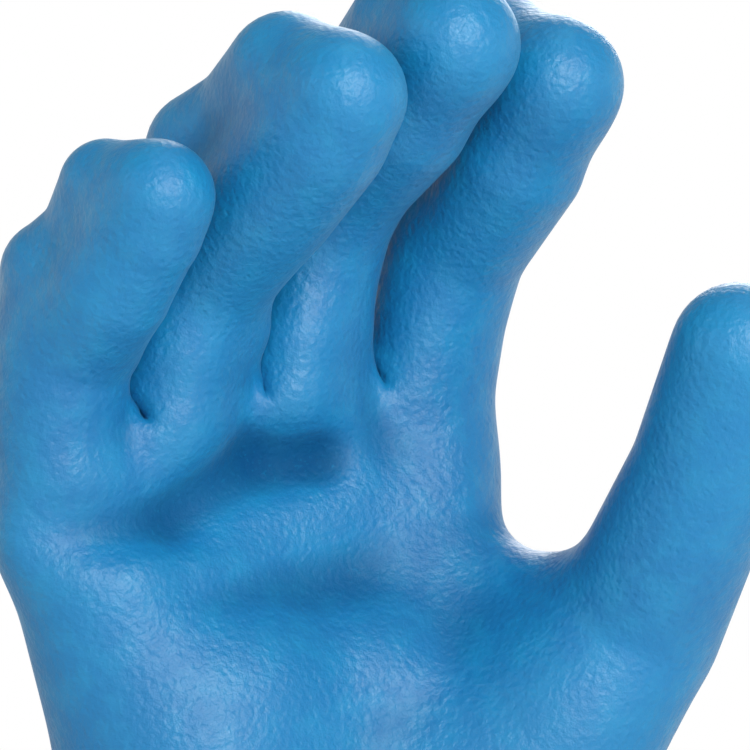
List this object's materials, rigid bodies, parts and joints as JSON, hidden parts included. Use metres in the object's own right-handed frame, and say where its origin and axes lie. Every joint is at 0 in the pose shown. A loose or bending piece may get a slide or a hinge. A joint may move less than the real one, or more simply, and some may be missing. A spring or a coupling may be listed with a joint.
{
  "type": "pvc coated work glove",
  "caption": "Right-hand coated work glove with a flared gauntlet cuff, hollow to the fingertips and held in a relaxed half-closed shape.",
  "frame": {"origin": "centre of the cuff opening, in the plane of the cuff's rim", "axes": "+Z from the cuff to the fingertips, -Y out of the palm, +X towards the thumb"},
  "size_m": [0.126, 0.125, 0.2836],
  "materials": {
    "pvc_coating": "satin, with a fine rough grain"
  },
  "bodies": {
    "root": {"glove_shell": "pvc_coating"}
  },
  "joints": []
}
